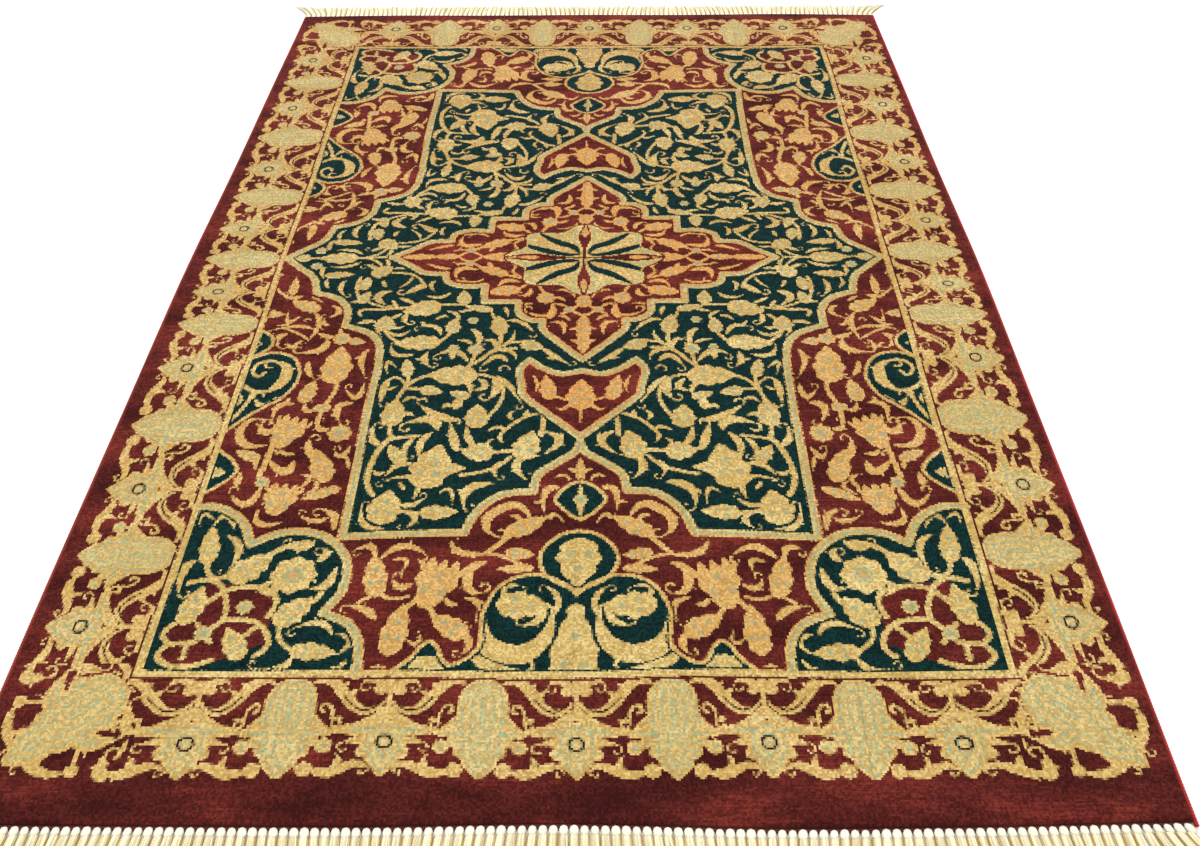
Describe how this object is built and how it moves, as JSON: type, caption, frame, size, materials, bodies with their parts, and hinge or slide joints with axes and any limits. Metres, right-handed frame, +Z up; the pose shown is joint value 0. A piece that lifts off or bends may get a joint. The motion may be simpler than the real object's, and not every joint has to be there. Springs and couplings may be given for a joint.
{
  "type": "persian rug",
  "caption": "Rectangular hand-knotted wool pile rug with a lobed medallion pattern, overcast long sides and a knotted cotton fringe at each end, lying flat on a floor.",
  "frame": {"origin": "on the floor under the middle of the rug", "axes": "+X across the rug, +Y along its length towards the end that is farther away in the picture, +Z up out of the pile"},
  "size_m": [1.2632, 1.95, 0.008],
  "materials": {
    "pile": "cut wool pile, matte with a soft sheen",
    "overcast": "wrapped wool yarn",
    "fringe": "undyed cotton yarn"
  },
  "bodies": {
    "root": {"pile_body": "pile", "overcast_left": "overcast", "overcast_right": "overcast", "fringe_back": "fringe", "fringe_front": "fringe"}
  },
  "joints": []
}
